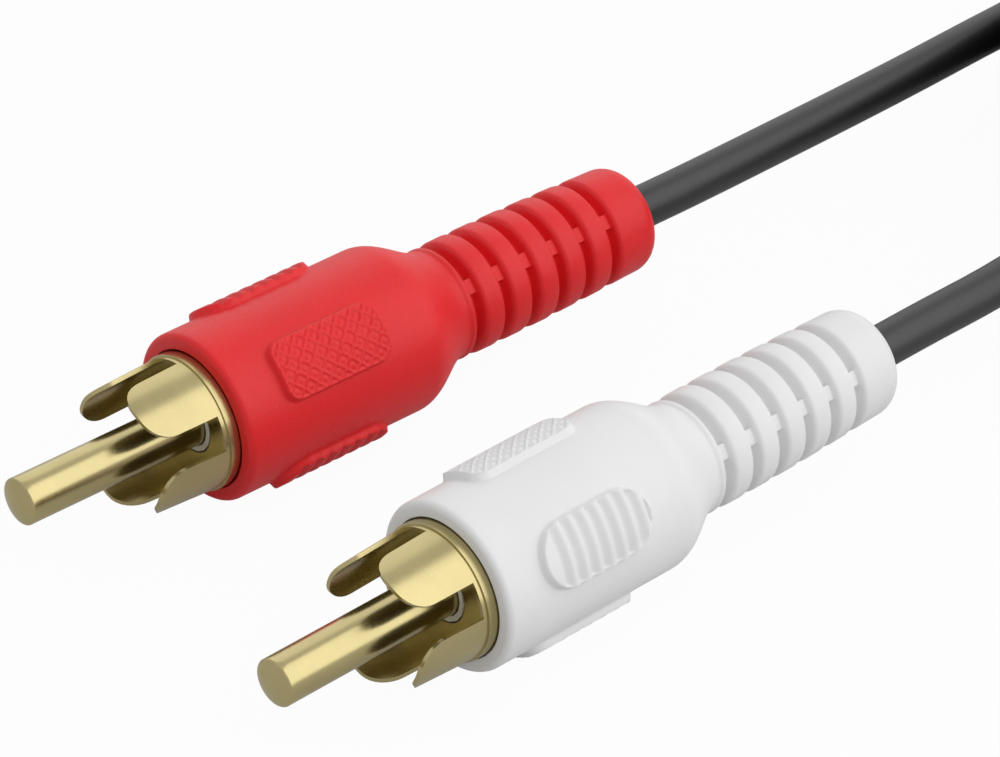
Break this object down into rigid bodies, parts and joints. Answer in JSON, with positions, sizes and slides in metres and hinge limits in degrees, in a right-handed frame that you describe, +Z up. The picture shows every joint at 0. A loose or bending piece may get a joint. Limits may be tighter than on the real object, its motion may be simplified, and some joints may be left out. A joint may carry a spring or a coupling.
{
  "type": "stereo rca audio cable",
  "caption": "Stereo audio lead: red and white moulded phono plugs with slotted shells and ringed strain reliefs on black coax leads, surplus coiled.",
  "frame": {"origin": "on the resting surface, under the middle of the two near plugs' bounding box", "axes": "+X along the near plugs from the pins towards the leads, +Y from the white near plug to the red one, +Z up"},
  "size_m": [0.1915, 0.0504, 0.014],
  "materials": {
    "gold_plate": "satin gold plating over brass",
    "red_pvc": "fine grained moulded PVC",
    "white_pvc": "smooth moulded PVC",
    "ivory_polythene": "plain",
    "copper": "bare copper",
    "black_pvc": "satin flexible PVC",
    "tie_plastic": "satin"
  },
  "bodies": {
    "root": {"red_near_centre_pin": "gold_plate", "red_near_shell": "gold_plate", "red_near_insulator": "ivory_polythene", "red_near_inner_mould": "ivory_polythene", "red_near_body": "red_pvc", "red_near_wire": "copper", "red_near_core": "ivory_polythene", "red_near_braid": "copper", "red_near_jacket": "black_pvc", "white_near_centre_pin": "gold_plate", "white_near_shell": "gold_plate", "white_near_insulator": "ivory_polythene", "white_near_inner_mould": "ivory_polythene", "white_near_body": "white_pvc", "white_near_wire": "copper", "white_near_core": "ivory_polythene", "white_near_braid": "copper", "white_near_jacket": "black_pvc", "red_far_centre_pin": "gold_plate", "red_far_shell": "gold_plate", "red_far_insulator": "ivory_polythene", "red_far_inner_mould": "ivory_polythene", "red_far_body": "red_pvc", "red_far_wire": "copper", "red_far_core": "ivory_polythene", "red_far_braid": "copper", "red_far_jacket": "black_pvc", "white_far_centre_pin": "gold_plate", "white_far_shell": "gold_plate", "white_far_insulator": "ivory_polythene", "white_far_inner_mould": "ivory_polythene", "white_far_body": "white_pvc", "white_far_wire": "copper", "white_far_core": "ivory_polythene", "white_far_braid": "copper", "white_far_jacket": "black_pvc", "red_lead_near": "black_pvc", "white_lead_near": "black_pvc", "red_lead_far": "black_pvc", "white_lead_far": "black_pvc", "lead_coil": "black_pvc", "coil_tie_1": "tie_plastic", "coil_tie_2": "tie_plastic"}
  },
  "joints": []
}
